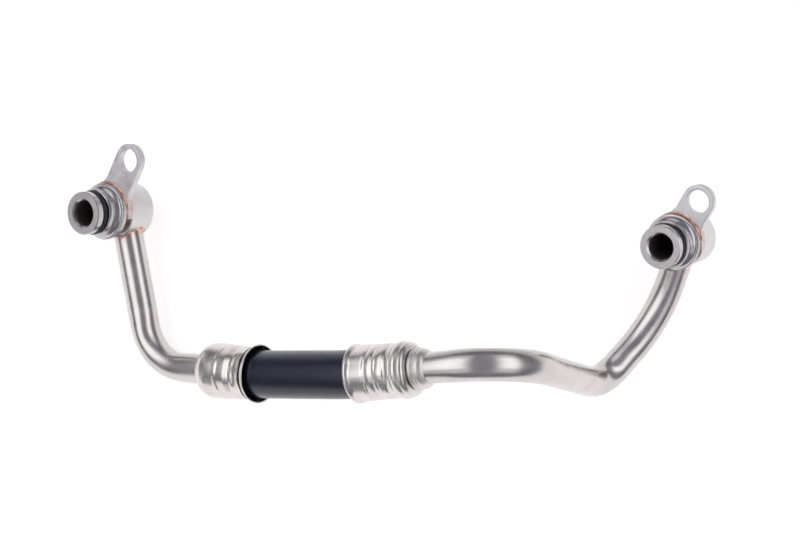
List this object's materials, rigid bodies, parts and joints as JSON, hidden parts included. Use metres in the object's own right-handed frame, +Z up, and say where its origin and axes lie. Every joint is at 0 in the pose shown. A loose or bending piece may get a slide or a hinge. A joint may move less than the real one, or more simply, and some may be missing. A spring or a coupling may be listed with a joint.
{
  "type": "turbo oil feed line",
  "caption": "Rigid steel oil feed line for a turbocharger, with a flanged, ring-sealed spigot fitting at each end and a short crimped rubber hose between the bent tubes.",
  "frame": {"origin": "the middle of the line's bounding box in X and Y, on the surface that it lies on", "axes": "+Z up as the line lies at rest, +X from the left fitting to the right one, the longest extent, +Y away from the hose"},
  "size_m": [0.2182, 0.0896, 0.0728],
  "materials": {
    "machined_steel": "satin",
    "plate_steel": "satin",
    "stainless_tube": "satin",
    "ferrule_steel": "satin",
    "braze_copper": "satin",
    "hose_rubber": "satin",
    "seal_rubber": "satin"
  },
  "bodies": {
    "root": {"left_fitting": "machined_steel", "left_seal_ring": "seal_rubber", "left_flange_plate": "plate_steel", "left_plate_braze": "braze_copper", "left_tube_braze": "braze_copper", "left_tube": "stainless_tube", "left_insert": "machined_steel", "left_ferrule": "ferrule_steel", "right_fitting": "machined_steel", "right_seal_ring": "seal_rubber", "right_flange_plate": "plate_steel", "right_plate_braze": "braze_copper", "right_tube_braze": "braze_copper", "right_tube": "stainless_tube", "right_insert": "machined_steel", "right_ferrule": "ferrule_steel", "hose": "hose_rubber"}
  },
  "joints": []
}
